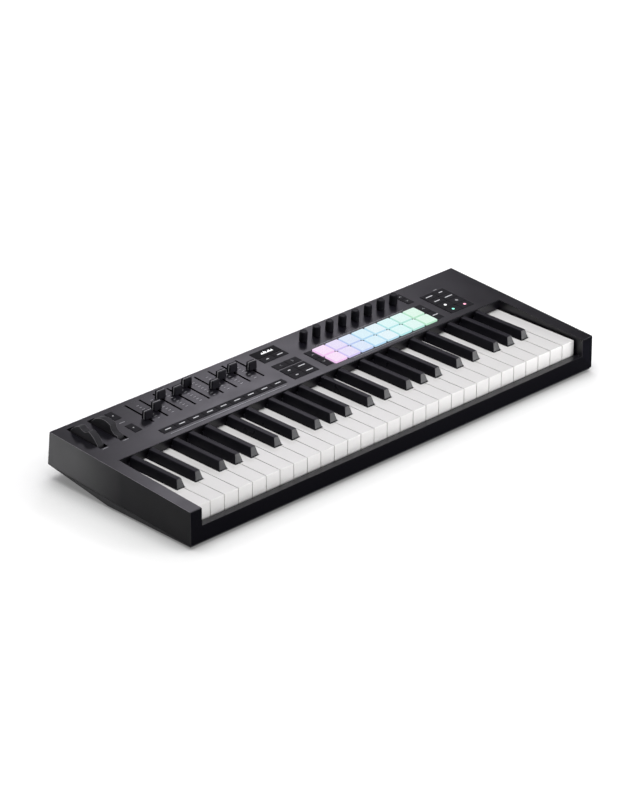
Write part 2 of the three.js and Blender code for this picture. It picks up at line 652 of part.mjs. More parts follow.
// A disc on its axle with one finger notch. Angles run from straight up towards the back.
function wheel(scoopDegrees) {
  const half = WHEEL_WIDTH / 2;
  const angle = scoopDegrees * Math.PI / 180;
  const { radius, reach } = WHEEL_SCOOP;
  const disc = rodAlongX(-half, half, 0, 0, WHEEL_RADIUS, 60);
  const scoop = rodAlongX(
    -half - OVERRUN, half + OVERRUN, reach * Math.sin(angle), reach * Math.cos(angle), radius, 28);
  const bore = rodAlongX(-half - OVERRUN, half + OVERRUN, 0, 0, AXLE_RADIUS + FIT, 12);
  return geometryOf(disc.subtract(scoop).subtract(bore));
}

function faderCap() {
  const { width, depth, height, lift, lean, edge } = FADER_CAP;
  const top = lift + height;
  const body = [];
  [-1, 1].forEach((side) => {
    [-1, 1].forEach((end) => {
      body.push(new THREE.Vector3(side * width / 2, end * depth / 2, lift));
      body.push(new THREE.Vector3(side * (width - lean) / 2, end * (depth / 2 - lean), top - edge));
      body.push(new THREE.Vector3(
        side * ((width - lean) / 2 - edge), end * (depth / 2 - lean - edge), top));
    });
  });
  const half = FADER_STEM.width / 2;
  const halfLength = FADER_STEM.length / 2;
  const stem = box(-half, half, -halfLength, halfLength, FADER_STEM.bottom, lift + OVERRUN);
  return geometryOf(solidOf(new ConvexGeometry(body)).add(stem));
}

function encoderKnob() {
  const shaft = ENCODER_SHAFT_RADIUS;
  const profile = [
    [0, -ENCODER_SHAFT_DEPTH], [shaft, -ENCODER_SHAFT_DEPTH], [shaft, ENCODER_LIFT],
    [ENCODER_RADIUS, ENCODER_LIFT], [ENCODER_RADIUS - ENCODER_TAPER, ENCODER_HEIGHT - OVERRUN],
    [ENCODER_RADIUS - ENCODER_EDGE, ENCODER_HEIGHT], [0, ENCODER_HEIGHT],
  ];
  const points = profile.map(([radius, height]) => new THREE.Vector2(radius, height));
  const geometry = new THREE.LatheGeometry(points, 18).rotateX(Math.PI / 2);
  return geometryOf(solidOf(geometry));
}

// ---- Assembly -------------------------------------------------------------------------------

function plastic(color, roughness) {
  return new THREE.MeshStandardMaterial({ color, roughness, metalness: 0 });
}

const MATERIALS = {
  panel: plastic(0x5a595d, 0.62),
  underside: plastic(0x16151a, 0.7),
  chassis: plastic(0x2b2b2e, 0.7),
  board: plastic(0x1f3d2c, 0.5),
  naturals: plastic(0xe6e4e4, 0.3),
  sharps: plastic(0x1f1e22, 0.4),
  controls: plastic(0x1d1c20, 0.55),
  buttons: plastic(0x2f2d33, 0.7),
  pads: plastic(0xc9c6ea, 0.6),
};

function addCase(group) {
  addMesh(group, 'top_case', geometryOf(topCase()), MATERIALS.panel);
  addMesh(group, 'bottom_case', geometryOf(bottomCase()), MATERIALS.underside);
  addMesh(group, 'key_frame', geometryOf(keyFrame()), MATERIALS.chassis);
  addMesh(group, 'control_board', geometryOf(controlBoard()), MATERIALS.board);
}

function addKeys(group) {
  for (let index = 0; index < NATURAL_COUNT; index += 1) {
    const name = `natural_key_${String(index + 1).padStart(2, '0')}`;
    const key = addMesh(group, name, naturalKey(index), MATERIALS.naturals);
    key.position.x = naturalLeft(index);
  }
  allOctaves().forEach((octave) => {
    addMesh(group, `sharp_keys_${octave + 1}`, sharpKeys(octave), MATERIALS.sharps);
  });
}

function addMats(group) {
  addMesh(group, 'pad_mat', geometryOf(padMat()), MATERIALS.pads);
  Object.entries(BUTTON_BLOCKS).forEach(([side, blocks]) => {
    const mat = geometryOf(buttonMat(blocks, MAT_SHEETS[side]));
    addMesh(group, `${side}_button_mat`, mat, MATERIALS.buttons);
  });
}

function addWheels(group) {
  const axleZ = panelZ(WHEEL_AXLE_Y) - WHEEL_DEPTH;
  const pitch = addMesh(group, 'pitch_wheel', wheel(PITCH_SCOOP_DEGREES), MATERIALS.controls);
  pitch.position.set(PITCH_WHEEL_X, WHEEL_AXLE_Y, axleZ);
  const modulation = addMesh(group, 'mod_wheel', wheel(MOD_SCOOP_DEGREES), MATERIALS.controls);
  modulation.position.set(MOD_WHEEL_X, WHEEL_AXLE_Y, axleZ);
}

function addKnobs(group) {
  FADER_SETTINGS.forEach((y, index) => {
    const cap = addMesh(group, `fader_cap_${index + 1}`, faderCap(), MATERIALS.controls);
    cap.position.set(faderX(index), y, panelZ(y));
    cap.rotation.x = SLOPE_ANGLE;
  });
  for (let column = 0; column < COLUMN_COUNT; column += 1) {
    const knob = addMesh(group, `encoder_knob_${column + 1}`, encoderKnob(), MATERIALS.controls);
    knob.position.set(encoderX(column), ENCODER_Y, panelZ(ENCODER_Y));
    knob.rotation.x = SLOPE_ANGLE;
  }
}

const group = new THREE.Group();
addCase(group);
addKeys(group);
addMats(group);
addWheels(group);
addKnobs(group);
group.position.set(
  -CASE_CENTRE_X, -(CASE_FRONT_Y + CASE_REAR_Y) / 2, FOOT_HEIGHT - BASE_Z);

export default group;
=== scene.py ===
"""Looks of a 49-key controller keyboard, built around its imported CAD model.

Places are given in millimetres in the key frame: x = 0 in the middle of the keys, y = 0 at the
front of the naturals, z = 0 at their tops. spot() turns them into the row's metres.
"""
import json
import math

import bmesh
import bpy
from mathutils import Matrix, Vector


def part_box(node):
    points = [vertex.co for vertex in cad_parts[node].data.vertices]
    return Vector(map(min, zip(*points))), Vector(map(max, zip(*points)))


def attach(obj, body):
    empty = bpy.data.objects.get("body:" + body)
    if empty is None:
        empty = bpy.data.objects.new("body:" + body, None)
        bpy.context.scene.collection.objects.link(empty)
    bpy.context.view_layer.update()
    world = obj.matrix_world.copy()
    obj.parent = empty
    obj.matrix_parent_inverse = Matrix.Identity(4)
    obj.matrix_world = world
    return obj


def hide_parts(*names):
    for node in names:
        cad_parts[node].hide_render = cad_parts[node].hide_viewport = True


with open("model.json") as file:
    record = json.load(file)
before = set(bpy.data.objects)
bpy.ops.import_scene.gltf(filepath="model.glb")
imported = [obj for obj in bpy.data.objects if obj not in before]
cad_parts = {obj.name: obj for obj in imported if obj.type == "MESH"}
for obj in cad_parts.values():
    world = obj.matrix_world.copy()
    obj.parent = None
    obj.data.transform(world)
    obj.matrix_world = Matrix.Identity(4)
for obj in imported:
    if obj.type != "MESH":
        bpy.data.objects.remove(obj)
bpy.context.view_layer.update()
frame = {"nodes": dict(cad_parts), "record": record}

# ---- Frame and driving values ------------------------------------------------------------------

MM = 0.001
JOINTS = {joint["name"]: joint for joint in frame["record"]["behaviour"]["joints"]}
FIRST_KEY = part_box("natural_key_01")
LAST_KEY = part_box("natural_key_29")
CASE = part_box("top_case")
KEY_ORIGIN = Vector(((FIRST_KEY[0].x + LAST_KEY[1].x) / 2, FIRST_KEY[0].y, FIRST_KEY[1].z))

NATURAL_COUNT = 29
OCTAVE_COUNT = 4
BACK_LEAN = 5.6  # the back wall's foot stands behind its top edge
BACK_WALL_HEIGHT = 47
EDGE_HIGHLIGHT_Y = 60.0  # the panel's side edges carry a painted highlight behind this line
FADER_AXIS = Vector(JOINTS["fader_1_slide"]["axis"])
SLOPE = FADER_AXIS.z / FADER_AXIS.y
SLOPE_ANGLE = math.atan(SLOPE)

FADER_COUNT = 9
COLUMN_COUNT = 8
FADER_SLOT_Y = (184.8, 239.8)
FADER_SLOT_WIDTH = 3.0
COLUMN_FIRST_X = 55.0
COLUMN_PITCH = 24.1
PAD_ROWS_Y = (160.8, 184.9)
PAD_SIZE = 21.8
PAD_TOP = 2.0
PAD_WELL = (43.2, 235.4, 148.9, 196.8)
DISPLAY = (-28.2, 16.0, 222.3, 239.2)
BUTTON_TOP = 0.6
BUTTON_BOTTOM = -4.2
BUTTON_GAP = 0.35

# Blocks of buttons: body, x0, x1, y0, y1, columns, rows.
BUTTON_BLOCKS = {
    "octave_up": ("left_button_mat", -280, -267.5, 217.6, 238.6, 1, 1),
    "octave_down": ("left_button_mat", -280, -267.5, 178.5, 199.5, 1, 1),
    "under_faders": ("left_button_mat", -254.5, -40.5, 152.8, 164.8, 9, 1),
    "under_display": ("centre_button_mat", -28.2, 16, 208.9, 221.5, 2, 1),
    "navigate": ("centre_button_mat", -28.2, 16, 184, 197.6, 2, 1),
    "select": ("centre_button_mat", -28.2, 16, 151.8, 181.8, 2, 2),
    "left_of_pads": ("centre_button_mat", 30, 42, 152, 197, 1, 2),
    "right_of_pads": ("right_button_mat", 237.6, 249.6, 152, 198, 1, 2),
    "encoder_bank": ("right_button_mat", 237.6, 249.6, 208.4, 238, 1, 2),
    "transport": ("right_button_mat", 263.8, 308.2, 152.6, 213.2, 2, 4),
}

# Each column's glow from above, and the fuller colour of its edges and sides.
PAD_COLOURS = [
    ((0.94, 0.77, 0.95), (0.86, 0.42, 0.84)), ((0.83, 0.77, 0.95), (0.50, 0.40, 0.86)),
    ((0.75, 0.83, 0.96), (0.32, 0.45, 0.86)), ((0.74, 0.90, 0.97), (0.24, 0.55, 0.84)),
    ((0.81, 0.92, 0.97), (0.25, 0.62, 0.82)), ((0.76, 0.96, 0.96), (0.22, 0.66, 0.70)),
    ((0.78, 0.96, 0.92), (0.22, 0.68, 0.56)), ((0.77, 0.96, 0.85), (0.26, 0.68, 0.40)),
]


def spot(x, y, z):
    """A place in the key frame, in millimetres, as a point in the row's metres."""
    return KEY_ORIGIN + Vector((x, y, z)) * MM


def panel_z(y):
    """Height of the panel's top face at y, both in the key frame's millimetres."""
    back_y = (CASE[1].y - KEY_ORIGIN.y) / MM - BACK_LEAN
    back_z = (CASE[1].z - KEY_ORIGIN.z) / MM
    return back_z - SLOPE * (back_y - y)


def on_panel(x, y):
    """Matrix whose local frame lies on the panel at x, y, in metres, with +Z out of the panel."""
    return Matrix.Translation(spot(x, y, panel_z(y))) @ Matrix.Rotation(SLOPE_ANGLE, 4, "X")


def node_centre(node):
    """Middle of a CAD node's box, in the key frame's millimetres."""
    low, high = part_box(node)
    return ((low + high) / 2 - KEY_ORIGIN) / MM


def joint_place(name):
    """A hinge's point, in the key frame's millimetres."""
    return (Vector(JOINTS[name]["pos_m"]) - KEY_ORIGIN) / MM


# ---- Materials ---------------------------------------------------------------------------------

def new_material(name):
    material = bpy.data.materials.new(name)
    material.use_nodes = True
    nodes = material.node_tree.nodes
    return material, nodes, material.node_tree.links, nodes["Principled BSDF"]


def noise_node(nodes, links, coords, scale, detail=3.0):
    noise = nodes.new("ShaderNodeTexNoise")
    noise.inputs["Scale"].default_value = scale
    noise.inputs["Detail"].default_value = detail
    links.new(coords, noise.inputs["Vector"])
    return noise.outputs["Fac"]


def range_node(nodes, links, value, low, high):
    mapping = nodes.new("ShaderNodeMapRange")
    mapping.inputs["From Min"].default_value = 0.3
    mapping.inputs["From Max"].default_value = 0.7
    mapping.inputs["To Min"].default_value = low
    mapping.inputs["To Max"].default_value = high
    links.new(value, mapping.inputs["Value"])
    return mapping.outputs["Result"]


def mix_node(nodes, links, factor, first, second):
    mix = nodes.new("ShaderNodeMix")
    mix.data_type = "RGBA"
    links.new(factor, mix.inputs["Factor"])
    for socket, value in ((mix.inputs[6], first), (mix.inputs[7], second)):
        if isinstance(value, tuple):
            socket.default_value = (*value, 1)
        else:
            links.new(value, socket)
    return mix.outputs[2]


def edge_mask(nodes, links, start=0.515, end=0.56):
    """1 along convex edges, where handling rubs the finish."""
    geometry = nodes.new("ShaderNodeNewGeometry")
    ramp = nodes.new("ShaderNodeMapRange")
    ramp.inputs["From Min"].default_value = start
    ramp.inputs["From Max"].default_value = end
    links.new(geometry.outputs["Pointiness"], ramp.inputs["Value"])
    return ramp.outputs["Result"]


def shaded(colour, factor):
    return tuple(min(1.0, channel * factor) for channel in colour)


def moulded(name, colour, roughness, grain=900.0, depth=0.00004, vary=0.08, wear=1.35,
            specular=0.5, coat=0.0):
    """Moulded plastic or rubber: mottled colour, fine grain, uneven gloss and rubbed edges."""
    material, nodes, links, shader = new_material(name)
    coords = nodes.new("ShaderNodeTexCoord").outputs["Object"]
    cloud = noise_node(nodes, links, coords, 9.0, 5.0)
    body = mix_node(nodes, links, cloud, shaded(colour, 1 - vary), shaded(colour, 1 + vary))
    worn = mix_node(nodes, links, edge_mask(nodes, links), body, shaded(colour, wear))
    links.new(worn, shader.inputs["Base Color"])
    patches = noise_node(nodes, links, coords, 26.0, 4.0)
    links.new(range_node(nodes, links, patches, roughness - 0.05, roughness + 0.05),
              shader.inputs["Roughness"])
    bump = nodes.new("ShaderNodeBump")
    bump.inputs["Distance"].default_value = depth
    bump.inputs["Strength"].default_value = 0.6
    links.new(noise_node(nodes, links, coords, grain, 2.0), bump.inputs["Height"])
    links.new(bump.outputs["Normal"], shader.inputs["Normal"])
    shader.inputs["Specular IOR Level"].default_value = specular
    shader.inputs["Coat Weight"].default_value = coat
    shader.inputs["Coat Roughness"].default_value = 0.2
    return material


def side_painted_sheen():
    """Moulded sides with a painted sheen: colour and gloss are painted darker from the back of the case
    to its front, as shade.
    """
    material = moulded("side_plastic_painted_sheen", (0.02, 0.0195, 0.0225), 0.45, vary=0.08, wear=1.6)
    nodes, links = material.node_tree.nodes, material.node_tree.links
    shader = next(node for node in nodes if node.type == "BSDF_PRINCIPLED")
    axes = nodes.new("ShaderNodeSeparateXYZ")
    links.new(nodes.new("ShaderNodeTexCoord").outputs["Object"], axes.inputs["Vector"])
    along = nodes.new("ShaderNodeMapRange")
    along.inputs["From Min"].default_value = CASE[0].y
    along.inputs["From Max"].default_value = CASE[1].y
    links.new(axes.outputs["Y"], along.inputs["Value"])
    painted_fade = nodes.new("ShaderNodeMath")
    painted_fade.operation = "POWER"
    painted_fade.inputs[1].default_value = 1.6
    links.new(along.outputs["Result"], painted_fade.inputs[0])
    body = shader.inputs["Base Color"].links[0].from_socket
    links.new(mix_node(nodes, links, painted_fade.outputs[0], (0.004, 0.0038, 0.0052), body),
              shader.inputs["Base Color"])
    links.new(range_node(nodes, links, painted_fade.outputs[0], 0.12, 0.65),
              shader.inputs["Specular IOR Level"])
    return material


def pad_edge_mask(nodes, links):
    """0 over the middle of a pad's top, rising to 1 at its rim and down its sides."""
    place = nodes.new("ShaderNodeTexCoord").outputs["Generated"]
    axes = nodes.new("ShaderNodeSeparateXYZ")
    links.new(place, axes.inputs["Vector"])
    reaches = []
    for axis in ("X", "Y"):
        away = nodes.new("ShaderNodeMath")
        away.operation = "SUBTRACT"
        away.inputs[1].default_value = 0.5
        links.new(axes.outputs[axis], away.inputs[0])
        size = nodes.new("ShaderNodeMath")
        size.operation = "ABSOLUTE"
        links.new(away.outputs[0], size.inputs[0])
        reaches.append(size.outputs[0])
    widest = nodes.new("ShaderNodeMath")
    widest.operation = "MAXIMUM"
    links.new(reaches[0], widest.inputs[0])
    links.new(reaches[1], widest.inputs[1])
    rim = nodes.new("ShaderNodeMapRange")
    rim.interpolation_type = "SMOOTHSTEP"
    rim.inputs["From Min"].default_value = 0.445
    rim.inputs["From Max"].default_value = 0.5
    links.new(widest.outputs[0], rim.inputs["Value"])
    return rim.outputs["Result"]


def lit_rubber(name, colour, edge_colour, glow):
    """Silicone pad lit from below: a pale speckled top and a fuller colour at the rim and sides."""
    material, nodes, links, shader = new_material(name)
    coords = nodes.new("ShaderNodeTexCoord").outputs["Object"]
    speckle = range_node(nodes, links, noise_node(nodes, links, coords, 1100.0, 1.0), 0.0, 1.0)
    top = mix_node(nodes, links, speckle, shaded(colour, 0.90), shaded(colour, 1.06))
    rim_colour = tuple(0.45 * pale + 0.55 * full for pale, full in zip(colour, edge_colour))
    tint = mix_node(nodes, links, pad_edge_mask(nodes, links), top, rim_colour)
    shader.inputs["Base Color"].default_value = (*shaded(edge_colour, 0.06), 1)
    links.new(tint, shader.inputs["Emission Color"])
    shader.inputs["Emission Strength"].default_value = glow
    shader.inputs["Roughness"].default_value = 0.55
    shader.inputs["Specular IOR Level"].default_value = 0.15
    bump = nodes.new("ShaderNodeBump")
    bump.inputs["Distance"].default_value = 0.00005
    links.new(speckle, bump.inputs["Height"])
    links.new(bump.outputs["Normal"], shader.inputs["Normal"])
    return material


def printed(name, colour, glow=0.0):
    """Screen-printed ink, a little broken where the ink is thin."""
    material, nodes, links, shader = new_material(name)
    coords = nodes.new("ShaderNodeTexCoord").outputs["Object"]
    thin = noise_node(nodes, links, coords, 700.0, 2.0)
    ink = mix_node(nodes, links, thin, shaded(colour, 0.85), shaded(colour, 1.1))
    links.new(ink, shader.inputs["Base Color"])
    links.new(ink, shader.inputs["Emission Color"])
    shader.inputs["Emission Strength"].default_value = glow
    shader.inputs["Roughness"].default_value = 0.6
    return material


def metal(name, colour, roughness):
    material, nodes, links, shader = new_material(name)
    coords = nodes.new("ShaderNodeTexCoord").outputs["Object"]
    brushed = noise_node(nodes, links, coords, 600.0, 4.0)
    links.new(mix_node(nodes, links, brushed, shaded(colour, 0.85), shaded(colour, 1.1)),
              shader.inputs["Base Color"])
    links.new(range_node(nodes, links, brushed, roughness - 0.06, roughness + 0.1),
              shader.inputs["Roughness"])
    shader.inputs["Metallic"].default_value = 1.0
    return material


def board_material():
    """Green solder resist with a faint net of copper tracks under it."""
    material, nodes, links, shader = new_material("solder_resist")
    coords = nodes.new("ShaderNodeTexCoord").outputs["Object"]
    tracks = nodes.new("ShaderNodeTexVoronoi")
    tracks.feature = "DISTANCE_TO_EDGE"
    tracks.inputs["Scale"].default_value = 160.0
    links.new(coords, tracks.inputs["Vector"])
    edge = nodes.new("ShaderNodeMapRange")
    edge.inputs["From Max"].default_value = 0.06
    links.new(tracks.outputs["Distance"], edge.inputs["Value"])
    links.new(mix_node(nodes, links, edge.outputs["Result"], (0.05, 0.16, 0.07),
                       (0.015, 0.06, 0.03)), shader.inputs["Base Color"])
    links.new(range_node(nodes, links, noise_node(nodes, links, coords, 60.0), 0.3, 0.45),
              shader.inputs["Roughness"])
    return material


MATERIALS = {
    "panel": moulded("panel_plastic", (0.0036, 0.0030, 0.0056), 0.33, vary=0.08, wear=2.5),
    # the case's ends: a sheen painted on, fading to shade towards the front
    "side": side_painted_sheen(),
    # the case front: painted near-black and nearly without gloss, as shade on its unlit side
    "front": moulded("front_plastic_painted_shade", (0.0010, 0.0009, 0.0022), 0.42, vary=0.1, wear=2,
                     specular=0.02),
    "underside": moulded("underside_plastic", (0.012, 0.012, 0.014), 0.6, grain=500.0,
                         depth=0.0001),
    "chassis": moulded("chassis_plastic", (0.03, 0.03, 0.032), 0.6),
    "board": board_material(),
    "natural": moulded("natural_plastic", (0.73, 0.72, 0.714), 0.38, depth=0.00001, vary=0.015,
                       wear=1.02),
    "sharp": moulded("sharp_plastic", (0.0085, 0.008, 0.011), 0.32, vary=0.08, wear=2.2,
                     specular=0.13),
    # the sharps' fronts: the same plastic with more gloss, a painted sheen
    "sharp_front_painted_sheen": moulded("sharp_front_painted_sheen_plastic", (0.0085, 0.008, 0.011), 0.32, vary=0.08, wear=2.2,
                           specular=0.21),
    "cap": moulded("cap_plastic", (0.007, 0.0066, 0.009), 0.5, vary=0.12, wear=2.6, specular=0.2),
    "grip": moulded("grip_rubber", (0.026, 0.0252, 0.0285), 0.55, grain=500.0, depth=0.00006,
                    wear=1.4, specular=0.12),
    "button": moulded("button_rubber", (0.010, 0.0095, 0.012), 0.6, vary=0.08, wear=1.7,
                      specular=0.14),
    # a pale painted highlight for the bevels along the panel's side edges
    "panel_edge_painted_highlight": moulded("panel_edge_painted_highlight_plastic", (0.17, 0.166, 0.18), 0.42, vary=0.06, wear=1.2),
    "shadow": moulded("slot_shadow", (0.0006, 0.0006, 0.0008), 0.95, depth=0.0, wear=1.0,
                      specular=0.0),
    "cap_core": moulded("cap_core_plastic", (0.22, 0.216, 0.231), 0.5, vary=0.06, wear=1.2,
                        specular=0.3),
    # sides and fronts of caps and knobs: a darker, duller copy of the cap plastic, as painted shade
    "cap_face_painted_shade": moulded("cap_face_painted_shade_plastic", (0.0062, 0.0058, 0.0080), 0.6, vary=0.1, wear=1.8,
                        specular=0.06),
    # a pale painted highlight on the rounded rim edges of the wheels
    "wheel_edge_painted_highlight": moulded("wheel_edge_painted_highlight_rubber", (0.15, 0.146, 0.158), 0.5, vary=0.08, wear=1.2,
                          specular=0.2),
    "pad_base": moulded("pad_base_rubber", (0.010, 0.012, 0.020), 0.6, specular=0.15),
    "foot": moulded("foot_rubber", (0.02, 0.02, 0.02), 0.8, grain=350.0, depth=0.00015),
    "window": moulded("window_plastic", (0.002, 0.002, 0.003), 0.5, depth=0.0, vary=0.05,
                      specular=0.08),
    # the grey and scale inks glow slightly: painted light that keeps the print bright
    "ink": printed("grey_ink", (0.62, 0.62, 0.65), 0.16),
    "scale_ink": printed("scale_ink", (0.34, 0.34, 0.36), 0.05),
    "faint_ink": printed("faint_ink", (0.16, 0.16, 0.17)),
    "white_light": printed("white_light", (0.9, 0.9, 0.92), 0.9),
    "green_light": printed("green_light", (0.25, 0.85, 0.62), 0.9),
    "pink_light": printed("pink_light", (0.95, 0.42, 0.55), 0.9),
    "steel": metal("plated_steel", (0.5, 0.5, 0.51), 0.3),
    "brass": metal("contact_brass", (0.65, 0.5, 0.25), 0.3),
}
PAD_MATERIALS = [lit_rubber(f"pad_light_{column + 1}", *colours, 0.95)
                 for column, colours in enumerate(PAD_COLOURS)]


# ---- Mesh helpers ------------------------------------------------------------------------------

def add_object(name, mesh, material, body, replaced=()):
    piece = bpy.data.objects.new(name, mesh)
    bpy.context.scene.collection.objects.link(piece)
    if material is not None:
        mesh.materials.append(material)
    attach(piece, body)
    if replaced:
        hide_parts(*replaced)
    return piece


def smooth_except(mesh, degrees=32):
    """Smooth faces, with edges sharper than the angle kept crisp."""
    bm = bmesh.new()
    bm.from_mesh(mesh)
    limit = math.radians(degrees)
    for face in bm.faces:
        face.smooth = True
    for edge in bm.edges:
        edge.smooth = len(edge.link_faces) == 2 and edge.calc_face_angle(0) < limit
    bm.to_mesh(mesh)
    bm.free()


def loft_mesh(name, rings, matrix=None, closed=False):
    """Skin a list of equal rings of points. Open lofts get a flat cap at each end."""
    bm = bmesh.new()
    rows = [[bm.verts.new(point) for point in ring] for ring in rings]
    count = len(rings[0])
    pairs = list(zip(rows, rows[1:]))
    if closed:
        pairs.append((rows[-1], rows[0]))
    for lower, upper in pairs:
        for index in range(count):
            after = (index + 1) % count
            bm.faces.new((lower[index], lower[after], upper[after], upper[index]))
    if not closed:
        bm.faces.new(list(reversed(rows[0])))
        bm.faces.new(rows[-1])
    if matrix is not None:
        bm.transform(matrix)
    bmesh.ops.recalc_face_normals(bm, faces=bm.faces)
    mesh = bpy.data.meshes.new(name)
    bm.to_mesh(mesh)
    bm.free()
    smooth_except(mesh)
    return mesh


def rounded_ring(half_x, half_y, corner, z, steps=5, centre=(0, 0)):
    """A rectangle with round corners at height z, all in millimetres, as points in metres."""
    corner = min(corner, half_x - 0.01, half_y - 0.01)
    points = []
    for quadrant, (sx, sy) in enumerate(((1, 1), (-1, 1), (-1, -1), (1, -1))):
        for step in range(steps + 1):
            angle = math.radians(90 * quadrant + 90 * step / steps)
            points.append(Vector((
                centre[0] + sx * (half_x - corner) + corner * math.cos(angle),
                centre[1] + sy * (half_y - corner) + corner * math.sin(angle), z)) * MM)
    return points


def cushion_rings(half_x, half_y, bottom, top, corner, edge, crown=0.0, steps=4):
    """Rings of a block with a rounded top edge, and a top that rises by crown in its middle."""
    rings = [rounded_ring(half_x, half_y, corner, height) for height in (bottom, top - edge)]
    for step in range(1, steps + 1):
        angle = math.radians(90 * step / steps)
        inset = edge * (1 - math.cos(angle))
        height = top - edge + edge * math.sin(angle)
        rings.append(rounded_ring(half_x - inset, half_y - inset, corner, height))
    inner = 0.55
    rings.append(rounded_ring((half_x - edge) * inner, (half_y - edge) * inner, corner * inner,
                              top + crown))
    return rings


def panel_block(name, x0, x1, y0, y1, bottom, top, corner, edge, material, body,
                replaced=(), crown=0.0):
    """A rounded block standing on, or sunk in, the panel."""
    matrix = on_panel((x0 + x1) / 2, (y0 + y1) / 2)
    rings = cushion_rings((x1 - x0) / 2, (y1 - y0) / 2, bottom, top, corner, edge, crown)
    return add_object(name, loft_mesh(name, rings, matrix), material, body, replaced)


def joined_mesh(name, meshes):
    """One mesh from several, each material kept."""
    bm = bmesh.new()
    materials = []
    for mesh in meshes:
        start = len(bm.faces)
        bm.from_mesh(mesh)
        bm.faces.ensure_lookup_table()
        offset = len(materials)
        for face in bm.faces[start:]:
            face.material_index += offset
        materials.extend(mesh.materials)
    joined = bpy.data.meshes.new(name)
    bm.to_mesh(joined)
    bm.free()
    for material in materials:
        joined.materials.append(material)
    return joined


def flat_shape(outline, thickness, matrix):
    """A thin plate with the given outline in millimetres, from the surface up."""
    rings = [[Vector((x, y, height)) * MM for x, y in outline] for height in (0, thickness)]
    return loft_mesh("plate", rings, matrix)


def turned_mesh(name, profile, matrix, sides=48, flute=0.0, flutes=0):
    """A shape of revolution about +Z. profile is (radius, height, share of the flute depth)."""
    rings = []
    for radius, height, share in profile:
        ring = []
        for side in range(sides):
            angle = 2 * math.pi * side / sides
            cut = flute * share * (0.5 - 0.5 * math.cos(flutes * angle))
            reach = radius - cut
            ring.append(Vector((reach * math.cos(angle), reach * math.sin(angle), height)) * MM)
        rings.append(ring)
    return loft_mesh(name, rings, matrix)


def edge_width(edge, widths):
    """The first matching width for an edge, from (test, width) pairs."""
    middle = ((edge.verts[0].co + edge.verts[1].co) / 2 - KEY_ORIGIN) / MM
    return next(width for test, width in widths if test(middle))


def refined(node, name, material, widths, segments=3, body=None):
    """A CAD node's own shape with rounded edges. widths is (test, millimetres) pairs."""
    mesh = frame["nodes"][node].data.copy()
    mesh.name = name
    mesh.materials.clear()
    bm = bmesh.new()
    bm.from_mesh(mesh)
    bmesh.ops.remove_doubles(bm, verts=bm.verts, dist=2e-6)
    layers = bm.edges.layers.float
    weight = layers.get("bevel_weight_edge") or layers.new("bevel_weight_edge")
    widest = max(width for _, width in widths)
    for face in bm.faces:
        face.smooth = True
    for edge in bm.edges:
        if len(edge.link_faces) == 2 and edge.calc_face_angle(0) > math.radians(25):
            edge[weight] = edge_width(edge, widths) / widest
            edge.smooth = edge[weight] > 0
    bm.to_mesh(mesh)
    bm.free()
    piece = add_object(name, mesh, material, body or node, (node,))
    bevel = piece.modifiers.new("moulded_edges", "BEVEL")
    bevel.limit_method = "WEIGHT"
    bevel.width = widest * MM
    bevel.segments = segments
    bevel.use_clamp_overlap = False
    bevel.miter_outer = "MITER_ARC"
    weighted = piece.modifiers.new("flat_faces_stay_flat", "WEIGHTED_NORMAL")
    weighted.mode = "FACE_AREA"
    weighted.weight = 60
    weighted.keep_sharp = True
    depsgraph = bpy.context.evaluated_depsgraph_get()
    result = bpy.data.meshes.new_from_object(piece.evaluated_get(depsgraph),
                                             preserve_all_data_layers=True, depsgraph=depsgraph)
    piece.modifiers.clear()
    piece.data = result
    result.name = name
    return piece


def everywhere(width):
    return [(lambda place: True, width)]


# ---- Case --------------------------------------------------------------------------------------

CASE_FINISHES = ("panel", "front", "side", "shadow", "panel_edge_painted_highlight")


def build_case():
    left = (CASE[0].x - KEY_ORIGIN.x) / MM
    right = (CASE[1].x - KEY_ORIGIN.x) / MM
    front = (CASE[0].y - KEY_ORIGIN.y) / MM
    back = (CASE[1].y - KEY_ORIGIN.y) / MM - BACK_LEAN
    slots_left = node_centre("fader_cap_1").x - FADER_SLOT_WIDTH
    slots_right = node_centre(f"fader_cap_{FADER_COUNT}").x + FADER_SLOT_WIDTH
    slot_front, slot_back = FADER_SLOT_Y

    def in_slots(place):
        return slots_left < place.x < slots_right and slot_front - 1 < place.y < slot_back + 1

    widths = [
        (in_slots, 0.12),
        (lambda p: p.x < left + 0.5 or p.x > right - 0.5, 0.5),
        (lambda p: p.y < front + 4, 0.6),
        (lambda p: p.y > back - 0.5, 0.5),
        (lambda p: True, 0.35),
    ]
    case = refined("top_case", "upper_case", MATERIALS["panel"], widths, body="case")
    for name in CASE_FINISHES[1:]:
        case.data.materials.append(MATERIALS[name])
    for polygon in case.data.polygons:
        centre = (polygon.center - KEY_ORIGIN) / MM
        normal = polygon.normal
        beside = centre.x < left + 2 or centre.x > right - 2
        if in_slots(centre) and normal.z < 0.9:
            finish = "shadow"
        # bevels between the panel top and the side walls get the painted highlight
        elif 0.2 < normal.z < 0.97 and beside and abs(normal.x) > 0.2 and centre.y > EDGE_HIGHLIGHT_Y:
            finish = "panel_edge_painted_highlight"
        # front faces of the case get the painted shade
        elif normal.y < -0.93 and centre.y < front + 2.5:
            finish = "front"
        # the ends of the case take the side finish with its painted sheen and shade
        elif abs(normal.x) > 0.8 and beside:
            finish = "side"
        else:
            continue
        polygon.material_index = CASE_FINISHES.index(finish)
    refined("bottom_case", "lower_case", MATERIALS["underside"],
            everywhere(0.6), segments=2, body="case")
    frame["nodes"]["key_frame"].data.materials.clear()
    frame["nodes"]["key_frame"].data.materials.append(MATERIALS["chassis"])
    frame["nodes"]["control_board"].data.materials.clear()
    frame["nodes"]["control_board"].data.materials.append(MATERIALS["board"])


# ---- Keys --------------------------------------------------------------------------------------

FACES_FRONT = -0.6  # a face's normal along Y, below which it counts as a front


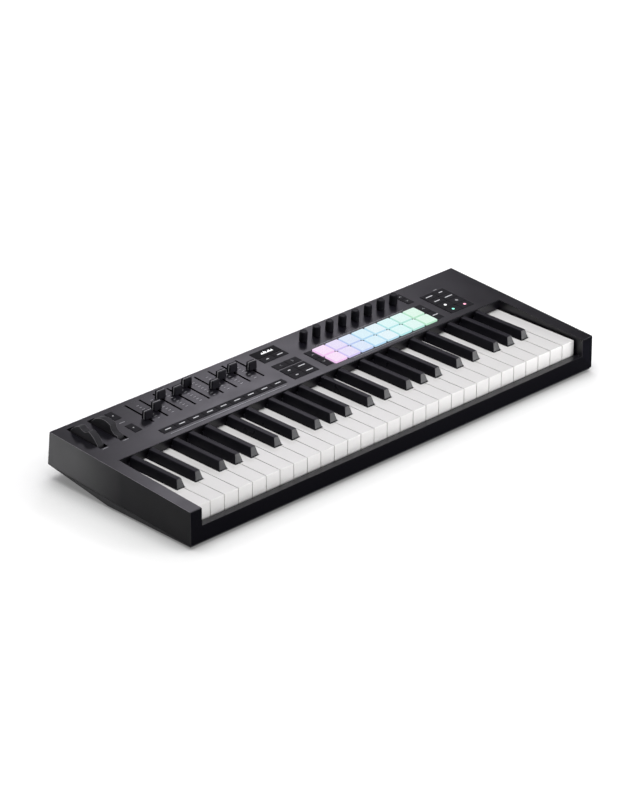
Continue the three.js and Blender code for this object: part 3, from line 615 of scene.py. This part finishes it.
def build_keys():
    """The keys' own CAD shapes. The fronts of the sharps carry a painted sheen: the sharps' plastic
    with a higher specular level than on their tops.
    """
    for number in range(1, NATURAL_COUNT + 1):
        refined(f"natural_key_{number:02d}", f"natural_{number:02d}", MATERIALS["natural"],
                everywhere(0.55))
    for number in range(1, OCTAVE_COUNT + 1):
        sharps = refined(f"sharp_keys_{number}", f"sharps_{number}", MATERIALS["sharp"],
                         everywhere(0.7)).data
        sharps.materials.append(MATERIALS["sharp_front_painted_sheen"])
        for polygon in sharps.polygons:
            if polygon.normal.y < FACES_FRONT:
                polygon.material_index = 1


# ---- Buttons, pads and display -----------------------------------------------------------------

def block_cells(x0, x1, y0, y1, columns, rows):
    """Cells of a block, column by column from the left, each from its front row back."""
    width = (x1 - x0) / columns
    length = (y1 - y0) / rows
    for column in range(columns):
        for row in range(rows):
            yield (x0 + column * width, x0 + (column + 1) * width,
                   y0 + row * length, y0 + (row + 1) * length)


def build_buttons():
    mats_replaced = set()
    for block, (body, *layout) in BUTTON_BLOCKS.items():
        for index, (x0, x1, y0, y1) in enumerate(block_cells(*layout)):
            replaced = () if body in mats_replaced else (body,)
            mats_replaced.add(body)
            panel_block(f"button_{block}_{index + 1}", x0 + BUTTON_GAP, x1 - BUTTON_GAP,
                        y0 + BUTTON_GAP, y1 - BUTTON_GAP, BUTTON_BOTTOM, BUTTON_TOP, 0.7, 0.35,
                        MATERIALS["button"], body, replaced)


def build_pads():
    x0, x1, y0, y1 = PAD_WELL
    panel_block("pad_bed", x0 + 0.4, x1 - 0.4, y0 + 0.4, y1 - 0.4, -3.6, -0.5, 0.5, 0.2,
                MATERIALS["pad_base"], "pad_mat", ("pad_mat",))
    half = PAD_SIZE / 2
    for column in range(COLUMN_COUNT):
        x = COLUMN_FIRST_X + COLUMN_PITCH * column
        for row, y in enumerate(PAD_ROWS_Y):
            panel_block(f"pad_{row + 1}_{column + 1}", x - half, x + half, y - half, y + half,
                        -0.9, PAD_TOP, 1.8, 0.7, PAD_MATERIALS[column], "pad_mat",
                        crown=0.12)


def build_display():
    x0, x1, y0, y1 = DISPLAY
    panel_block("display_window", x0 + 0.3, x1 - 0.3, y0 + 0.3, y1 - 0.3, -0.55, 0.25, 0.5, 0.2,
                MATERIALS["window"], "case")
    middle_x, base_y = -4.2, 228.8
    bars = []
    heights = (2.6, 4.4, 3.2, 5.8, 4.6, 2.2, 3.8, 5.2, 2.8, 4.0)
    for index, height in enumerate(heights):
        x = middle_x + (index - (len(heights) - 1) / 2) * 2.1
        outline = [(-0.6, 0), (0.6, 0), (0.6, height), (-0.6, height)]
        place = on_panel(x, base_y) @ Matrix.Translation((0, 0, 0.28 * MM))
        bars.append(flat_shape(outline, 0.08, place))
    add_object("display_bars", joined_mesh("display_bars", bars), MATERIALS["white_light"],
               "case")


# ---- Legends -----------------------------------------------------------------------------------

def bar_outline(length, width):
    half = length / 2
    end = width / 2
    return [(-half, -end), (half, -end), (half, end), (-half, end)]


def disc_outline(radius, sides=24):
    return [(radius * math.cos(2 * math.pi * i / sides), radius * math.sin(2 * math.pi * i / sides))
            for i in range(sides)]


def chevron_outline(size, direction):
    """An open arrow head along X (direction +1 or -1), as one bent stroke."""
    stroke = 0.45 * size
    points = [(-0.5, 1), (0.5, 0), (-0.5, -1)]
    outer = [(direction * x * size, y * size) for x, y in points]
    inner = [(direction * (x * size - stroke), y * size) for x, y in reversed(points)]
    return outer + inner


def turned_outline(outline):
    """The same outline turned a quarter, from along X to along Y."""
    return [(-y, x) for x, y in outline]


def legend(name, marks, body, material, lift=BUTTON_TOP):
    """Printed marks on a surface. marks is a list of (x, y, outline)."""
    thickness = 0.1
    raised = Matrix.Translation((0, 0, (lift + 0.03) * MM))
    plates = [flat_shape(outline, thickness, on_panel(x, y) @ raised) for x, y, outline in marks]
    return add_object(name, joined_mesh(name, plates), material, body)


def block_middle(block, index):
    _, *layout = BUTTON_BLOCKS[block]
    x0, x1, y0, y1 = list(block_cells(*layout))[index]
    return (x0 + x1) / 2, (y0 + y1) / 2


def build_legends():
    bar = bar_outline(9.6, 1.5)
    short = bar_outline(4.2, 1.5)
    long = bar_outline(11.5, 1.5)
    legend("legend_under_faders", [(*block_middle("under_faders", i), bar) for i in range(FADER_COUNT)],
           "left_button_mat", MATERIALS["ink"])
    legend("legend_octave", [(*block_middle(name, 0), disc_outline(0.95))
                             for name in ("octave_up", "octave_down")],
           "left_button_mat", MATERIALS["ink"])
    centre = [(*block_middle("under_display", 0), short), (*block_middle("under_display", 1), bar),
              (*block_middle("select", 0), short), (*block_middle("select", 1), short),
              (*block_middle("select", 2), long), (*block_middle("select", 3), long)]
    legend("legend_centre", centre, "centre_button_mat", MATERIALS["ink"])
    arrows = [(*block_middle("navigate", 1), chevron_outline(2.1, 1)),
              (*block_middle("left_of_pads", 1), turned_outline(chevron_outline(2.0, 1))),
              (*block_middle("left_of_pads", 0), turned_outline(chevron_outline(2.0, -1)))]
    legend("legend_arrows", arrows, "centre_button_mat", MATERIALS["scale_ink"])
    legend("legend_centre_faint", [(*block_middle("navigate", 0), chevron_outline(2.1, -1))],
           "centre_button_mat", MATERIALS["faint_ink"])
    right = [(*block_middle("right_of_pads", 0), bar)]
    right += [(*block_middle("transport", index), bar_outline(length, 1.5))
              for index, length in ((7, 6.5), (3, 12.5), (6, 13.5), (2, 10.0))]
    legend("legend_right", right, "right_button_mat", MATERIALS["ink"])
    arrows = [(*block_middle("right_of_pads", 1), turned_outline(chevron_outline(2.0, 1))),
              (*block_middle("encoder_bank", 1), turned_outline(chevron_outline(2.0, 1))),
              (*block_middle("encoder_bank", 0), turned_outline(chevron_outline(2.0, -1)))]
    legend("legend_right_arrows", arrows, "right_button_mat", MATERIALS["scale_ink"])
    lights = (("play", 1, "white_light", 2.0), ("stop", 5, "scale_ink", 2.3),
              ("loop", 0, "green_light", 2.0), ("record", 4, "pink_light", 2.0))
    for name, index, material, radius in lights:
        sides = 6 if name == "stop" else 24
        legend(f"legend_{name}", [(*block_middle("transport", index), disc_outline(radius, sides))],
               "right_button_mat", MATERIALS[material])


TICK_STEP_Y = 5.7
FIRST_TICK_Y = 4  # from a slot's front end
FADER_LINE_Y = 148.0
WHEEL_LABEL_Y = 172.6
OCTAVE_LABEL_Y = 208.5
TRANSPORT_LABEL = (296.9, 215.9)


def build_panel_print():
    """Scale marks between the fader slots and fine lines around the pads and buttons."""
    front, back = FADER_SLOT_Y
    between = (node_centre("fader_cap_2").x - node_centre("fader_cap_1").x) / 2
    tick = bar_outline(4.0, 0.7)
    ticks = []
    for index in range(FADER_COUNT - 1):
        x = node_centre(f"fader_cap_{index + 1}").x + between
        for step in range(int((back - front - FIRST_TICK_Y) / TICK_STEP_Y)):
            ticks.append((x, front + FIRST_TICK_Y + TICK_STEP_Y * step, tick))
    legend("panel_scale", ticks, "case", MATERIALS["scale_ink"], lift=0.0)
    x0, x1, y0, y1 = PAD_WELL
    lines = [((x0 + x1) / 2, y1 + 4.6, bar_outline(x1 - x0 - 30, 0.5)),
             ((x0 + x1) / 2, y0 - 2.8, bar_outline(x1 - x0 - 60, 0.5))]
    first, last = (block_middle("under_faders", index)[0] for index in (0, FADER_COUNT - 1))
    lines.append(((first + last) / 2, FADER_LINE_Y, bar_outline(last - first + 9.5, 0.6)))
    legend("panel_lines", lines, "case", MATERIALS["scale_ink"], lift=0.0)
    labels = [(joint_place(name).x, WHEEL_LABEL_Y, bar_outline(9.0, 0.9))
              for name in ("pitch_wheel_turn", "mod_wheel_turn")]
    labels.append((block_middle("octave_up", 0)[0] - 2, OCTAVE_LABEL_Y, bar_outline(9.0, 0.9)))
    labels.append((*TRANSPORT_LABEL, bar_outline(6.5, 1.0)))
    legend("panel_labels", labels, "case", MATERIALS["scale_ink"], lift=0.0)


# ---- Wheels ------------------------------------------------------------------------------------

PITCH_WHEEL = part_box("pitch_wheel")
WHEEL_RADIUS = (PITCH_WHEEL[1].y - PITCH_WHEEL[0].y) / 2 / MM
WHEEL_HALF_WIDTH = (PITCH_WHEEL[1].x - PITCH_WHEEL[0].x) / 2 / MM
SCOOP_RADIUS = 10.5
SCOOP_REACH = WHEEL_RADIUS + 5.7  # the notch's own centre, from the axle
RIDGE_SOFTNESS = 0.8


def scoop_dip(degrees):
    """How far the finger notch lowers the rim, this many degrees from the notch's middle."""
    angle = math.radians(degrees)
    beside = SCOOP_REACH * math.sin(angle)
    if math.cos(angle) <= 0 or abs(beside) >= SCOOP_RADIUS:
        return 0.0
    surface = SCOOP_REACH * math.cos(angle) - math.sqrt(SCOOP_RADIUS ** 2 - beside ** 2)
    depth = WHEEL_RADIUS - surface
    return (depth + math.hypot(depth, RIDGE_SOFTNESS)) / 2


def wheel_section(dip):
    """Section of a wheel from its bore to its rim, as (across, radius), the rim lowered by dip."""
    edge = 0.7
    rim = WHEEL_RADIUS - dip
    half = WHEEL_HALF_WIDTH
    outside = []
    for step in range(5):
        angle = math.radians(90 * step / 4)
        outside.append((half - edge + edge * math.cos(angle), rim - edge + edge * math.sin(angle)))
    side = [(half, 2.9)]
    right = side + outside
    return right + [(-x, r) for x, r in reversed(right)]


def build_wheel(node, joint, scoop):
    """A disc with one finger notch. scoop is the notch's angle from straight up."""
    centre = joint_place(joint)
    steps = 240
    rings = []
    for step in range(steps):
        degrees = 360 * step / steps
        angle = math.radians(degrees)
        away = (degrees - scoop + 180) % 360 - 180
        rings.append([spot(centre.x + across, centre.y + radius * math.sin(angle),
                           centre.z + radius * math.cos(angle))
                      for across, radius in wheel_section(scoop_dip(away))])
    rim = loft_mesh(node, rings, closed=True)
    rim.materials.append(MATERIALS["grip"])
    rim.materials.append(MATERIALS["wheel_edge_painted_highlight"])
    # the rounded rim edges get the painted highlight
    for polygon in rim.polygons:
        across = abs(((polygon.center - KEY_ORIGIN) / MM - centre).x)
        if 0.3 < abs(polygon.normal.x) < 0.95 and across > WHEEL_HALF_WIDTH - 0.75:
            polygon.material_index = 1
    add_object(f"{node}_disc", rim, None, node, (node,))


# ---- Faders and encoders -----------------------------------------------------------------------

CAP_BOTTOM = 0.8
CAP_TOP = 11.8
STEM_DEPTH = 11.0
# Layers of a cap from its front: front y, back y, half width, finish.
CAP_LAYERS = (
    (-3.8, -1.35, 6.6, "cap"), (-1.35, -1.0, 5.9, "shadow"), (-1.0, 0.9, 6.4, "cap_core"),
    (0.9, 1.4, 5.6, "shadow"), (1.4, 3.8, 6.6, "cap"),
)


def fader_y(low, high):
    """Where a cap stands on the panel: its foot's middle, under the sloped axis of its box."""
    middle = ((low + high) / 2 - KEY_ORIGIN) / MM
    rise = (CAP_TOP - STEM_DEPTH) / 2  # middle of the cap and its stem along the panel's normal
    return middle.y + math.sin(SLOPE_ANGLE) * rise


def cap_layer(front, back, half_width, matrix):
    """One upright layer of a cap, leaning in towards the top, with a rounded crown."""
    edge = 0.45
    rings = []
    for height, inset in ((CAP_BOTTOM, 0), (CAP_TOP - edge, 0), (CAP_TOP - edge * 0.3, edge * 0.3),
                          (CAP_TOP, edge)):
        rise = (height - CAP_BOTTOM) / (CAP_TOP - CAP_BOTTOM)
        lean = 1 - 0.18 * rise  # the outer faces stand this much closer together at the top
        y0, y1 = front * lean, back * lean
        half_depth = max((y1 - y0) / 2 - inset * 0.6, 0.12)
        rings.append(rounded_ring(half_width - 0.35 * rise - inset, half_depth, 0.5, height,
                                  centre=(0, (y0 + y1) / 2)))
    return loft_mesh("layer", rings, matrix)


def build_fader(index):
    node = f"fader_cap_{index + 1}"
    centre = node_centre(node)
    low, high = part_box(node)
    matrix = on_panel(centre.x, fader_y(low, high))
    meshes = []
    for front, back, half_width, finish in CAP_LAYERS:
        layer = cap_layer(front, back, half_width, matrix)
        layer.materials.append(MATERIALS[finish])
        layer.materials.append(MATERIALS["cap_face_painted_shade"])
        for polygon in layer.polygons:
            # faces of the outer layers that don't face up get the painted shade
            if finish == "cap" and polygon.normal.z < 0.5:
                polygon.material_index = 1
        meshes.append(layer)
    stem_rings = [rounded_ring(0.6, 3.0, 0.3, height) for height in (-STEM_DEPTH, 2)]
    stem = loft_mesh("stem", stem_rings, matrix)
    stem.materials.append(MATERIALS["cap"])
    add_object(f"fader_{index + 1}", joined_mesh(node, [*meshes, stem]), None, node,
               (node,))


KNOB_PROFILE = (
    # radius, height, share of the flutes
    (3.0, -10, 0), (3.0, 0.8, 0), (5.3, 0.9, 0), (5.6, 1.3, 0), (5.6, 2.2, 0), (5.6, 2.8, 1),
    (5.55, 8.0, 1), (5.5, 13.4, 1), (5.3, 14.5, 0.4), (4.8, 15.2, 0), (4.3, 15.5, 0),
    (3.8, 15.35, 0), (1.5, 15.2, 0), (0.2, 15.2, 0),
)


def build_encoder(index):
    node = f"encoder_knob_{index + 1}"
    place = joint_place(f"encoder_{index + 1}_turn")
    mesh = turned_mesh(node, KNOB_PROFILE, on_panel(place.x, place.y), 144, 0.3, 24)
    mesh.materials.append(MATERIALS["cap"])
    mesh.materials.append(MATERIALS["cap_face_painted_shade"])
    for polygon in mesh.polygons:
        # the knob's sides get the painted shade
        if polygon.normal.z < 0.5:
            polygon.material_index = 1
    add_object(f"encoder_{index + 1}", mesh, None, node, (node,))


# ---- Back and underside ------------------------------------------------------------------------

SOCKET_Z = -4.0
USB_X, PEDAL_X, MIDI_X = 310, 280, 245
FEET = ((-300, 12), (300, 12), (-300, 222), (300, 222))
SCREWS = [(x, y) for x in (-335, -170, 0, 170, 335) for y in (2, 130)]


def back_matrix(x, z):
    """Local frame on the back wall at x, z: +Z points out of the wall."""
    top = (CASE[1].z - KEY_ORIGIN.z) / MM
    back = (CASE[1].y - KEY_ORIGIN.y) / MM - BACK_LEAN
    lean = math.atan(BACK_LEAN / BACK_WALL_HEIGHT)
    y = back + math.tan(lean) * (top - z)
    return Matrix.Translation(spot(x, y, z)) @ Matrix.Rotation(-math.pi / 2 - lean, 4, "X")


def tube_mesh(name, outer, inner, low, high, matrix, sides=40):
    """A short pipe with softened outer end, from low to high along the matrix's +Z."""
    rings = []
    for radius, height in ((inner, low), (outer, low), (outer, high - 0.3), (outer - 0.3, high),
                           (inner + 0.3, high), (inner, high - 0.3)):
        rings.append([Vector((radius * math.cos(2 * math.pi * i / sides),
                              radius * math.sin(2 * math.pi * i / sides), height)) * MM
                      for i in range(sides)])
    return loft_mesh(name, rings, matrix, closed=True)


def build_sockets():
    shell = [rounded_ring(half_x, half_y, corner, height) for half_x, half_y, corner, height in (
        (4.2, 1.25, 1.2, -6), (4.6, 1.65, 1.6, -6), (4.6, 1.65, 1.6, -0.2), (4.2, 1.25, 1.2, -0.2))]
    add_object("usb_shell", loft_mesh("usb_shell", shell, back_matrix(USB_X, SOCKET_Z), closed=True),
               MATERIALS["steel"], "case")
    tongue = cushion_rings(3.2, 0.35, -6, -1.2, 0.3, 0.1)
    add_object("usb_tongue", loft_mesh("usb_tongue", tongue, back_matrix(USB_X, SOCKET_Z)),
               MATERIALS["cap"], "case")
    nut = tube_mesh("pedal_nut", 5.3, 3.4, -7, 1.2, back_matrix(PEDAL_X, SOCKET_Z), 48)
    add_object("pedal_nut", nut, MATERIALS["steel"], "case")
    add_object("midi_ring", tube_mesh("midi_ring", 7.8, 6.8, -7, 0.4, back_matrix(MIDI_X, SOCKET_Z)),
               MATERIALS["cap"], "case")
    pins = []
    for step in range(5):
        angle = math.radians(180 + 45 * step)
        matrix = back_matrix(MIDI_X, SOCKET_Z) @ Matrix.Translation(
            (4.4 * MM * math.cos(angle), 4.4 * MM * math.sin(angle), 0))
        pins.append(turned_mesh("pin", [(0.7, -7, 0), (0.7, -3, 0), (0.3, -2.6, 0)], matrix, 12))
    add_object("midi_pins", joined_mesh("midi_pins", pins), MATERIALS["brass"], "case")


def build_feet():
    low = (frame_floor() - KEY_ORIGIN.z) / MM
    for index, (x, y) in enumerate(FEET):
        matrix = Matrix.Translation(spot(x, y, low))
        profile = [(9.6, 0.0, 0), (10.2, 0.5, 0), (10.2, 2.0, 0), (9.7, 2.5, 0), (9.15, 2.6, 0)]
        add_object(f"foot_rubber_{index + 1}", turned_mesh("foot", profile, matrix, 48),
                   MATERIALS["foot"], "case")


def frame_floor():
    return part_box("bottom_case")[0].z


def build_screws():
    base = -45.3
    heads = []
    for x, y in SCREWS:
        matrix = Matrix.Translation(spot(x, y, base)) @ Matrix.Rotation(math.pi, 4, "X")
        profile = [(3.2, -0.3, 0), (3.2, 0.5, 0), (2.7, 1.1, 0), (1.4, 1.3, 0), (1.2, 0.5, 0),
                   (0.2, 0.5, 0)]
        heads.append(turned_mesh("screw", profile, matrix, 28))
    add_object("case_screws", joined_mesh("case_screws", heads), MATERIALS["steel"], "case")


# ---- Stage -------------------------------------------------------------------------------------

def area_light(name, place, target, size, power, colour=(1, 1, 1), size_y=None):
    data = bpy.data.lights.new(name, "AREA")
    data.shape = "RECTANGLE"
    data.size = size
    data.size_y = size_y or size
    data.energy = power
    data.color = colour
    light = bpy.data.objects.new(name, data)
    light.location = place
    light.rotation_euler = (Vector(target) - Vector(place)).to_track_quat("-Z", "Y").to_euler()
    bpy.context.scene.collection.objects.link(light)


SHEEN_LAMP = (1.107, 1.093, 1.337)
FRONT_LAMP = (1.3, -1.6, 0.32)


def build_stage():
    """A pale floor with a painted contact shadow, the dome and two lamps."""
    mesh = bpy.data.meshes.new("floor")
    extent = 14.0
    corners = [(x * extent, y * extent, 0) for x, y in ((-1, -1), (1, -1), (1, 1), (-1, 1))]
    mesh.from_pydata(corners, [], [(0, 1, 2, 3)])
    floor = bpy.data.objects.new("floor", mesh)
    floor.location.z = frame_floor() - 0.0002
    bpy.context.scene.collection.objects.link(floor)
    material, nodes, links, shader = new_material("floor_painted_shadow")
    # painted contact shadow: occlusion darkens the floor's colour near the object
    contact = nodes.new("ShaderNodeAmbientOcclusion")
    contact.inputs["Distance"].default_value = 0.09
    contact.inputs["Color"].default_value = (0.92, 0.92, 0.92, 1)
    links.new(contact.outputs["Color"], shader.inputs["Base Color"])
    shader.inputs["Emission Color"].default_value = (1, 1, 1, 1)
    shader.inputs["Emission Strength"].default_value = 0.20
    shader.inputs["Roughness"].default_value = 0.9
    shader.inputs["Specular IOR Level"].default_value = 0.1
    mesh.materials.append(material)
    build_dome()
    area_light("sheen_light", SHEEN_LAMP, (0, 0.03, 0.04), 0.45, 4.2,
               colour=(1.02, 0.975, 1.09))
    area_light("front_light", FRONT_LAMP, (0, 0, 0.03), 0.9, 26, size_y=0.5)


# Sine of the elevation where the dome's dim shoulder ends and where its ceiling is at full level.
SHOULDER_END, CEILING_START = 0.84, 0.96
CEILING_LEVEL = 5.0


def build_dome():
    """A studio dome: pale walls, a dim shoulder and a bright ceiling, as (sine of elevation, level)."""
    world = bpy.data.worlds.new("studio")
    bpy.context.scene.world = world
    world.use_nodes = True
    nodes, links = world.node_tree.nodes, world.node_tree.links
    direction = nodes.new("ShaderNodeTexCoord").outputs["Generated"]
    axes = nodes.new("ShaderNodeSeparateXYZ")
    links.new(direction, axes.inputs["Vector"])
    ramp = nodes.new("ShaderNodeValToRGB")
    ramp.color_ramp.interpolation = "EASE"
    stops = ((0.0, 1.0), (0.1, 0.95), (0.2, 0.06), (SHOULDER_END, 0.06), (CEILING_START, 1.0))
    while len(ramp.color_ramp.elements) < len(stops):
        ramp.color_ramp.elements.new(0.5)
    for element, (place, level) in zip(ramp.color_ramp.elements, stops):
        element.position = place
        element.color = (level, level, level, 1)
    links.new(axes.outputs["Z"], ramp.inputs["Fac"])
    lift = nodes.new("ShaderNodeMapRange")
    lift.inputs["From Min"].default_value = SHOULDER_END
    lift.inputs["From Max"].default_value = CEILING_START
    lift.inputs["To Min"].default_value = 1.0
    lift.inputs["To Max"].default_value = CEILING_LEVEL
    links.new(axes.outputs["Z"], lift.inputs["Value"])
    links.new(ramp.outputs["Color"], nodes["Background"].inputs["Color"])
    links.new(lift.outputs["Result"], nodes["Background"].inputs["Strength"])


def build_camera():
    """Telephoto view from the front left."""
    azimuth = math.radians(44.143)
    elevation = math.radians(25.972)
    roll = math.radians(-0.104)
    distance = 4.6288
    target = Vector((-0.04534, -0.03206, 0.060))
    level = math.cos(elevation)
    forward = Vector((math.sin(azimuth) * level, math.cos(azimuth) * level, -math.sin(elevation)))
    data = bpy.data.cameras.new("camera")
    data.lens = 162.97
    data.clip_end = 60
    camera = bpy.data.objects.new("camera", data)
    camera.location = target - forward * distance
    camera.rotation_euler = (forward.to_track_quat("-Z", "Y").to_matrix().to_4x4()
                             @ Matrix.Rotation(roll, 4, "Z")).to_euler()
    bpy.context.scene.collection.objects.link(camera)
    bpy.context.scene.camera = camera


def build_controls():
    build_wheel("pitch_wheel", "pitch_wheel_turn", -3.5)
    build_wheel("mod_wheel", "mod_wheel_turn", -41.0)
    for index in range(FADER_COUNT):
        build_fader(index)
    for index in range(COLUMN_COUNT):
        build_encoder(index)


bpy.context.scene.view_settings.view_transform = "Standard"
build_camera()
build_stage()
build_case()
build_keys()
build_buttons()
build_pads()
build_display()
build_legends()
build_panel_print()
build_controls()
build_sockets()
build_feet()
build_screws()
